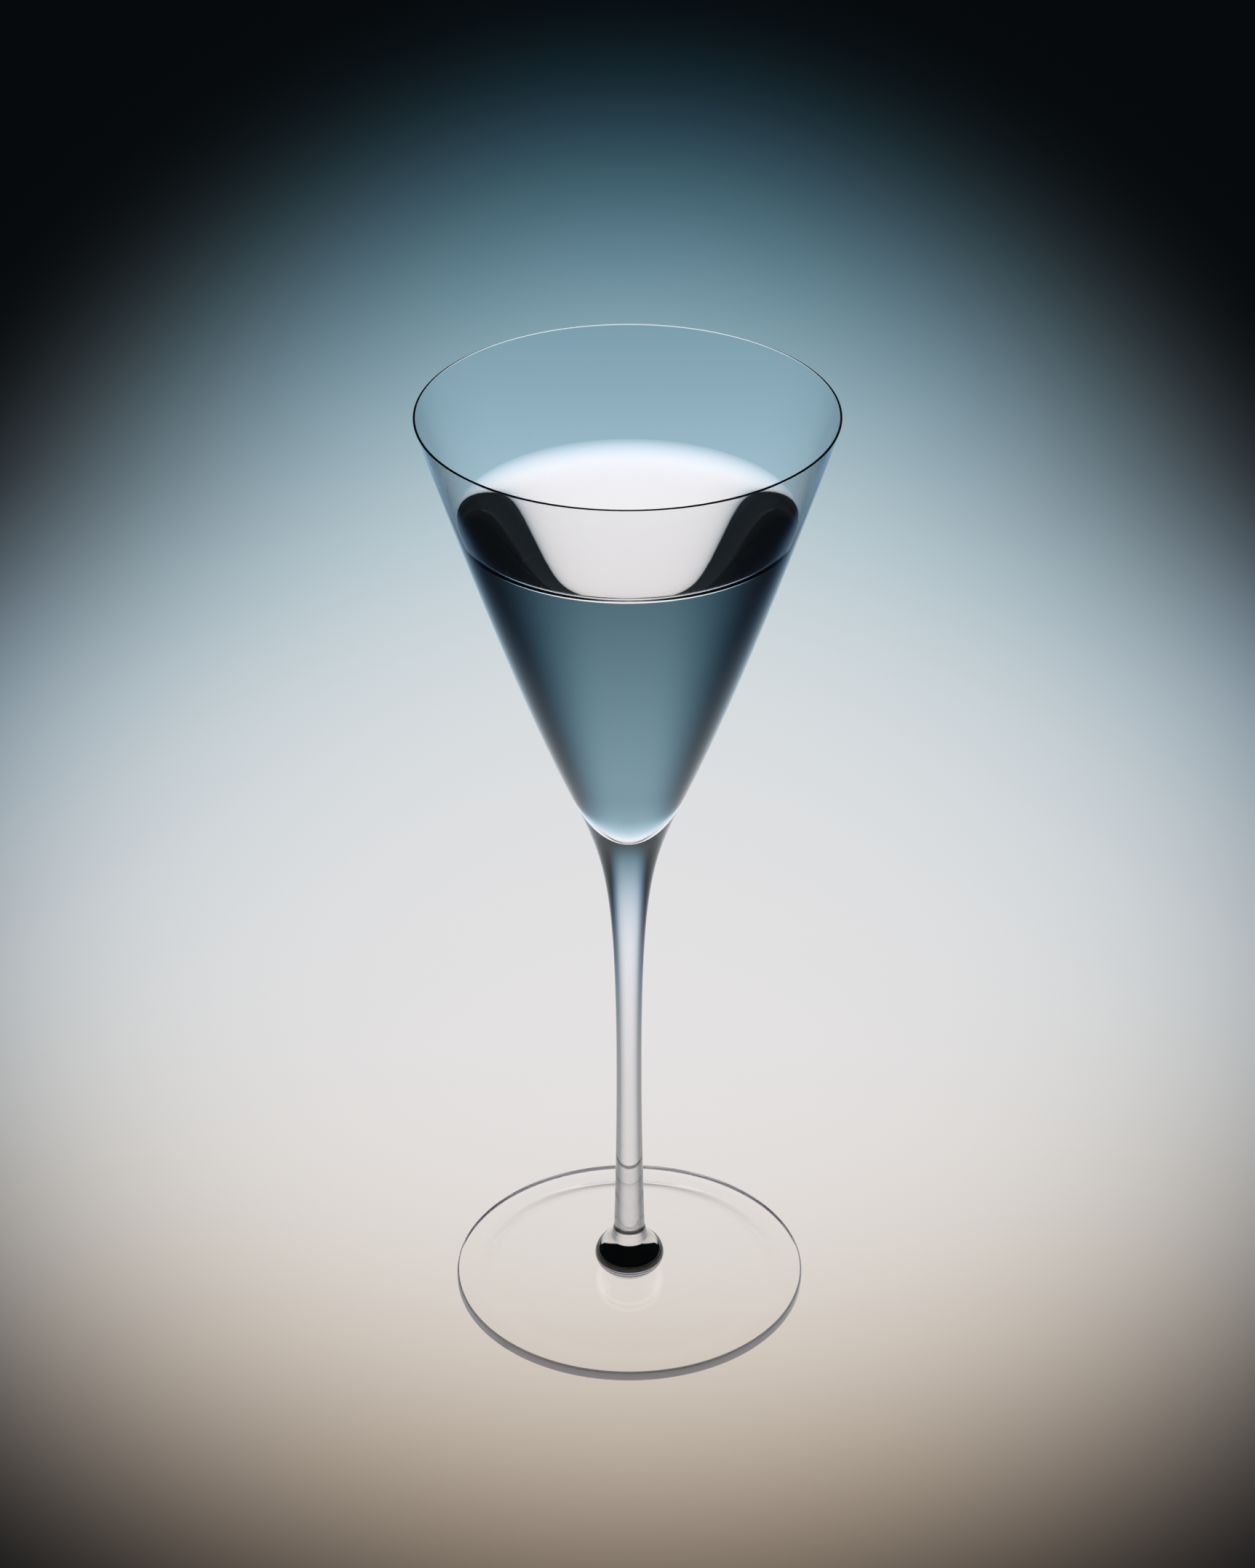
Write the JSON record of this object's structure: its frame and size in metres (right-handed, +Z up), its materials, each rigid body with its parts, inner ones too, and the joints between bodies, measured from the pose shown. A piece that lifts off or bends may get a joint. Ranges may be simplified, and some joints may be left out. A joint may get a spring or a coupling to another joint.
{
  "type": "martini cocktail",
  "caption": "Clear strained cocktail in a cone-shaped glass with a long slim stem, a button of glass at its base and a flat round foot.",
  "frame": {"origin": "centre of the circle that the foot stands on", "axes": "+Z up along the stem; the glass is round, so X and Y are alike, and the picture looks along +Y"},
  "size_m": [0.0832, 0.0832, 0.2078],
  "materials": {
    "glass": "polished clear crystal, fire-polished lip, no colour",
    "drink": "clear colourless spirit, still, with a small meniscus at the wall"
  },
  "bodies": {
    "root": {"glass": "glass", "drink": "drink"}
  },
  "joints": []
}
